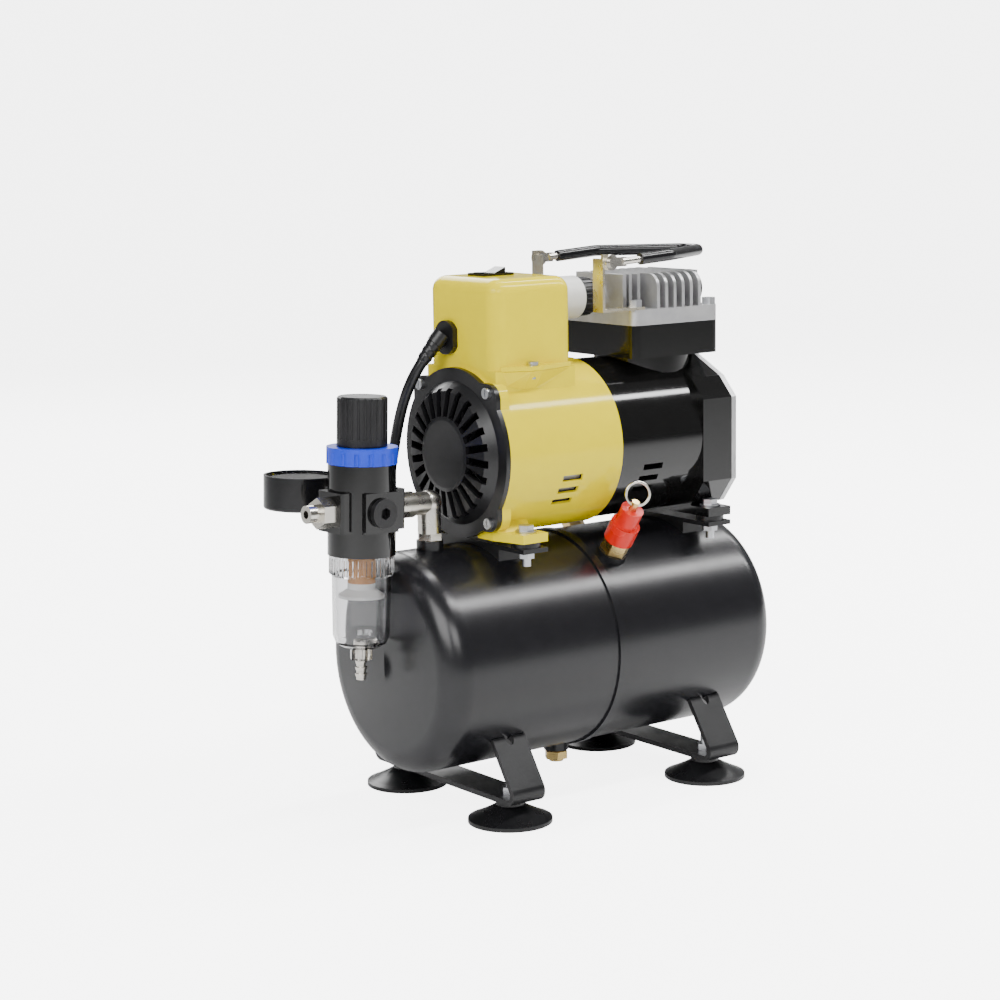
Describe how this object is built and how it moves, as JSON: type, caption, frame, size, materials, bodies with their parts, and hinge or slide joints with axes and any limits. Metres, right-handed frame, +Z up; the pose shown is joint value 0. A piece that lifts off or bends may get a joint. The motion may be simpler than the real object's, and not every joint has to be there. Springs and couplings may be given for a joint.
{
  "type": "airbrush compressor",
  "caption": "Oil-free piston airbrush compressor on a small air tank, with a filter regulator, gauge, safety valve, folding handle and suction-cup feet.",
  "frame": {"origin": "middle of the footprint, on the ground under the suction feet, measured without the mains lead", "axes": "+X along the tank from the regulator to the pump, +Y away from the safety valve, +Z up"},
  "size_m": [0.2908, 0.2459, 0.3085],
  "materials": {
    "black_tank_paint": "satin",
    "black_paint": "semi-gloss",
    "yellow_paint": "gloss",
    "cast_aluminium": "as cast",
    "nickel": "polished",
    "zinc_yellow": "zinc plated, passivated yellow",
    "bright_steel": "zinc plated",
    "brass": "machined",
    "rubber": "matte",
    "black_plastic": "matte",
    "gloss_black_plastic": "gloss",
    "blue_plastic": "satin",
    "red_anodised": "satin",
    "clear_bowl": "clear",
    "clear_lens": "clear",
    "sintered": "porous",
    "lamination": "raw",
    "white_plastic": "matte"
  },
  "bodies": {
    "chassis": {"tank_front_shell": "black_tank_paint", "tank_rear_shell": "black_tank_paint", "tank_bosses": "black_tank_paint", "leg_straps": "black_paint", "suction_feet": "rubber", "foot_studs_and_nuts": "bright_steel", "motor_saddles": "black_paint", "isolator_rubbers": "rubber", "mount_bolts_and_nuts": "bright_steel", "motor_housing": "yellow_paint", "fan_cover": "black_plastic", "case_screws": "bright_steel", "stator": "lamination", "ball_bearings": "bright_steel", "crankcase": "black_paint", "crankcase_end_plate": "black_paint", "crank_eccentric": "cast_aluminium", "piston_rod_and_cup": "cast_aluminium", "cylinder_block": "black_paint", "valve_plate": "black_paint", "cylinder_head": "cast_aluminium", "head_bolts": "bright_steel", "intake_filter": "black_plastic", "handle_brackets": "zinc_yellow", "handle_pins": "nickel", "electrical_box": "yellow_paint", "switch_bezel": "gloss_black_plastic", "run_capacitor": "white_plastic", "cord_gland": "rubber", "power_cord": "rubber", "cord_coil": "rubber", "power_plug": "rubber", "pressure_switch": "black_plastic", "brass_nuts": "brass", "delivery_tube": "brass", "safety_valve_body": "brass", "safety_valve_sleeve": "red_anodised", "outlet_elbow": "nickel", "regulator_body": "black_paint", "lock_ring": "blue_plastic", "regulator_spring": "bright_steel", "port_plug": "nickel", "outlet_fitting": "nickel", "gauge_case": "gloss_black_plastic", "gauge_lens": "clear_lens", "filter_element": "sintered", "filter_bowl": "clear_bowl"},
    "rotor": {"motor_shaft": "bright_steel", "rotor_core": "lamination", "cooling_fan": "black_plastic"},
    "handle": {"handle_bail": "nickel", "handle_grip": "rubber"},
    "rocker": {"switch_rocker": "gloss_black_plastic"},
    "adjuster": {"adjusting_screw": "bright_steel"},
    "knob": {"regulator_knob": "black_plastic"},
    "needle": {"gauge_needle": "black_paint"},
    "valve_stem": {"safety_valve_stem": "brass"},
    "ring": {"pull_ring": "nickel"},
    "tank_drain": {"tank_drain_screw": "brass"},
    "bowl_drain": {"bowl_drain": "nickel"}
  },
  "joints": [
    {"name": "rotor_spin", "type": "hinge", "parent": "chassis", "child": "rotor", "pos_m": [-0.04043, -0.00111, 0.2], "axis": [1, 0, 0], "continuous": true},
    {"name": "handle_fold", "type": "hinge", "parent": "chassis", "child": "handle", "pos_m": [0.04257, -0.00111, 0.303], "axis": [0, -1, 0], "range_deg": [-4, 180]},
    {"name": "switch_rock", "type": "hinge", "parent": "chassis", "child": "rocker", "pos_m": [-0.01243, 0.00489, 0.296], "axis": [0, 1, 0], "range_deg": [0, 20]},
    {"name": "pressure_set", "type": "hinge", "parent": "chassis", "child": "adjuster", "pos_m": [-0.10814, -0.00353, 0.17562], "axis": [0.0349, 0.0018, 0.9994], "range_deg": [0, 1080]},
    {"name": "knob_lift", "type": "slide", "parent": "adjuster", "child": "knob", "axis": [0.0349, 0.0018, 0.9994], "range_m": [0, 0.003]},
    {"name": "gauge_reading", "type": "hinge", "parent": "chassis", "child": "needle", "pos_m": [-0.11093, 0.0534, 0.18111], "axis": [-0.0349, -0.0018, -0.9994], "range_deg": [0, 270]},
    {"name": "relief_pull", "type": "slide", "parent": "chassis", "child": "valve_stem", "axis": [0, -0.5592, 0.829], "range_m": [0, 0.0025], "stiffness_N_per_m": 600, "springref_m": -0.004},
    {"name": "ring_swing", "type": "hinge", "parent": "valve_stem", "child": "ring", "pos_m": [0.04007, -0.05633, 0.16787], "axis": [0.8393, -0.4507, -0.304], "range_deg": [-50, 50]},
    {"name": "tank_drain_turn", "type": "hinge", "parent": "chassis", "child": "tank_drain", "pos_m": [0.02557, -0.00111, 0.024], "axis": [0, 0, -1], "range_deg": [0, 720]},
    {"name": "bowl_drain_turn", "type": "hinge", "parent": "chassis", "child": "bowl_drain", "pos_m": [-0.11141, -0.0037, 0.08167], "axis": [-0.0349, -0.0018, -0.9994], "range_deg": [0, 180]}
  ]
}
